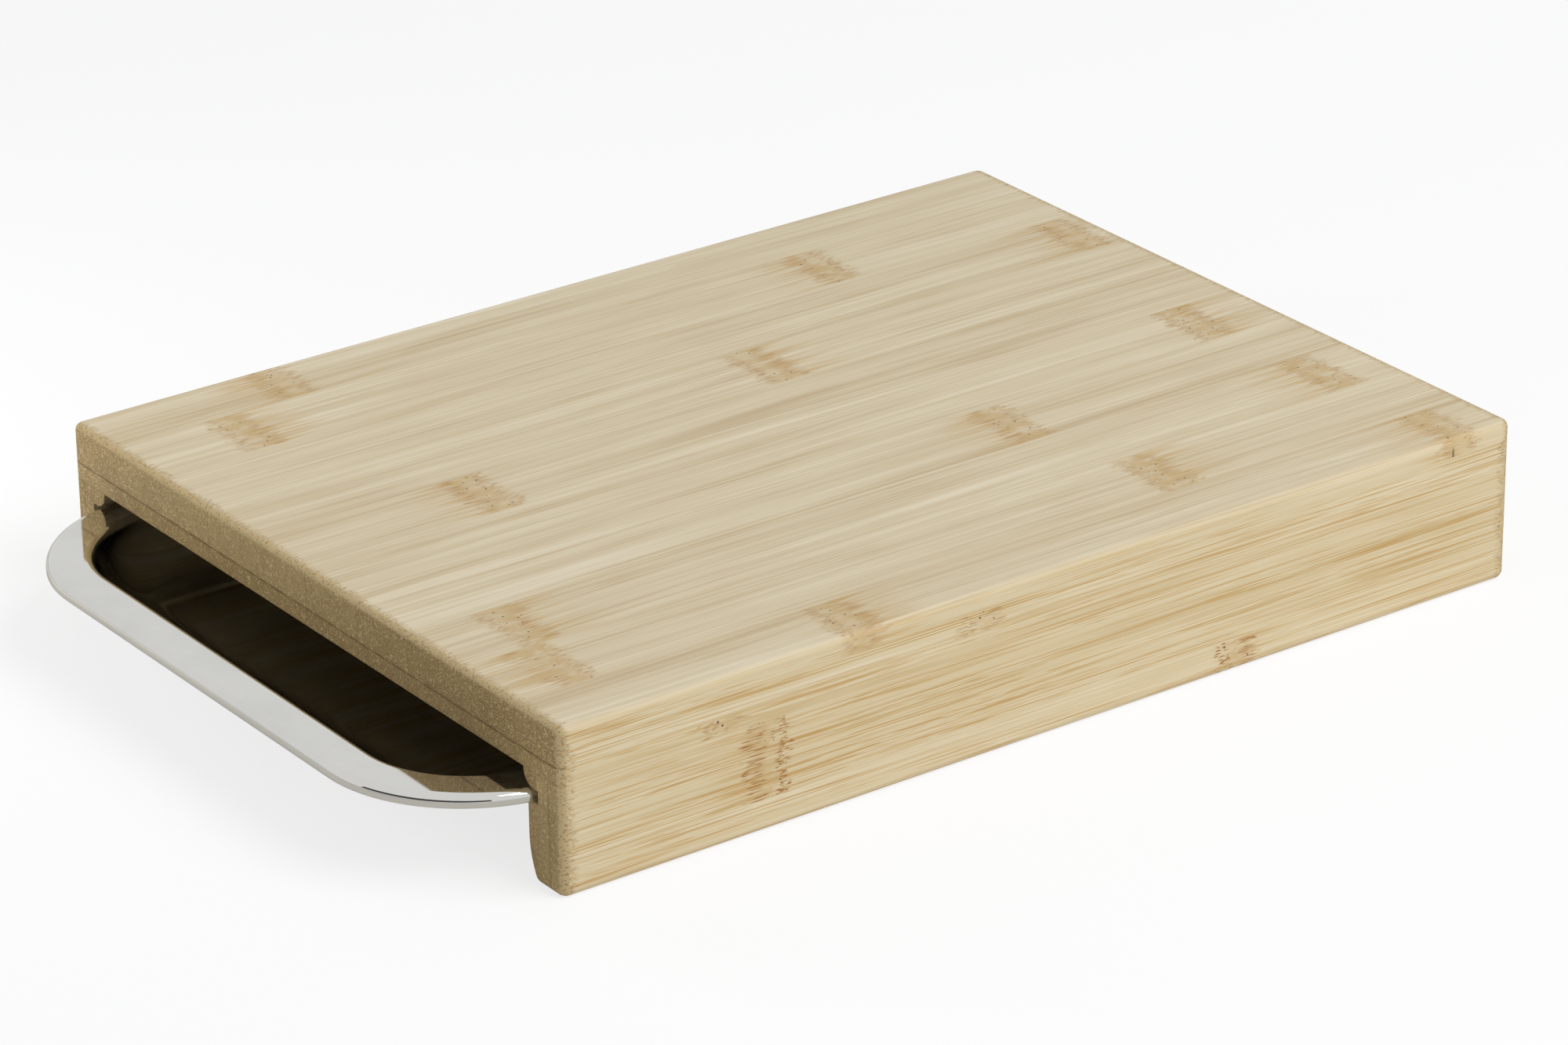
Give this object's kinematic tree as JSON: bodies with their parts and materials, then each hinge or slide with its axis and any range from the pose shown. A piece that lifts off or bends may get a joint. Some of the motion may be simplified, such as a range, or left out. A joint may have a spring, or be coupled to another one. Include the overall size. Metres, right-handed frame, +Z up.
{
  "type": "cutting board with tray",
  "caption": "Laminated bamboo cutting board standing on grooved side rails, with a rimmed steel tray that slides out from under it.",
  "frame": {"origin": "on the table, under the middle of the whole object's box with the tray drawn out as pictured", "axes": "+Z up; +Y from the tray's front rim towards the back of the board, along the bamboo's grain; +X towards the right-hand rail seen from the tray's end"},
  "size_m": [0.25, 0.3656, 0.05],
  "materials": {
    "bamboo_face": "sanded bamboo, oiled, matt",
    "bamboo_core": "sanded bamboo",
    "bamboo_under": "sanded bamboo",
    "bamboo_rail": "sanded bamboo, oiled, matt",
    "polished_steel": "mirror-polished stainless steel"
  },
  "bodies": {
    "board": {"face_strip_01": "bamboo_face", "face_strip_02": "bamboo_face", "face_strip_03": "bamboo_face", "face_strip_04": "bamboo_face", "face_strip_05": "bamboo_face", "face_strip_06": "bamboo_face", "face_strip_07": "bamboo_face", "face_strip_08": "bamboo_face", "face_strip_09": "bamboo_face", "face_strip_10": "bamboo_face", "core_strip_01": "bamboo_core", "core_strip_02": "bamboo_core", "core_strip_03": "bamboo_core", "core_strip_04": "bamboo_core", "core_strip_05": "bamboo_core", "core_strip_06": "bamboo_core", "core_strip_07": "bamboo_core", "core_strip_08": "bamboo_core", "core_strip_09": "bamboo_core", "core_strip_10": "bamboo_core", "under_strip_01": "bamboo_under", "under_strip_02": "bamboo_under", "under_strip_03": "bamboo_under", "under_strip_04": "bamboo_under", "under_strip_05": "bamboo_under", "under_strip_06": "bamboo_under", "under_strip_07": "bamboo_under", "under_strip_08": "bamboo_under", "under_strip_09": "bamboo_under", "under_strip_10": "bamboo_under", "right_rail_outer_upper": "bamboo_rail", "right_rail_outer_foot": "bamboo_rail", "right_rail_core_upper": "bamboo_rail", "right_rail_core_foot": "bamboo_rail", "right_rail_inner_upper": "bamboo_rail", "right_rail_inner_foot": "bamboo_rail", "right_rail_lip": "bamboo_rail", "left_rail_outer_upper": "bamboo_rail", "left_rail_outer_foot": "bamboo_rail", "left_rail_core_upper": "bamboo_rail", "left_rail_core_foot": "bamboo_rail", "left_rail_inner_upper": "bamboo_rail", "left_rail_inner_foot": "bamboo_rail", "left_rail_lip": "bamboo_rail", "back_rail_outer_upper": "bamboo_rail", "back_rail_outer_foot": "bamboo_rail", "back_rail_core_upper": "bamboo_rail", "back_rail_core_foot": "bamboo_rail", "back_rail_inner_upper": "bamboo_rail", "back_rail_inner_foot": "bamboo_rail"},
    "tray": {"steel_tray": "polished_steel"}
  },
  "joints": [
    {"name": "tray_slide", "type": "slide", "parent": "board", "child": "tray", "axis": [0, -1, 0], "range_m": [-0.0296, 0.28]}
  ]
}
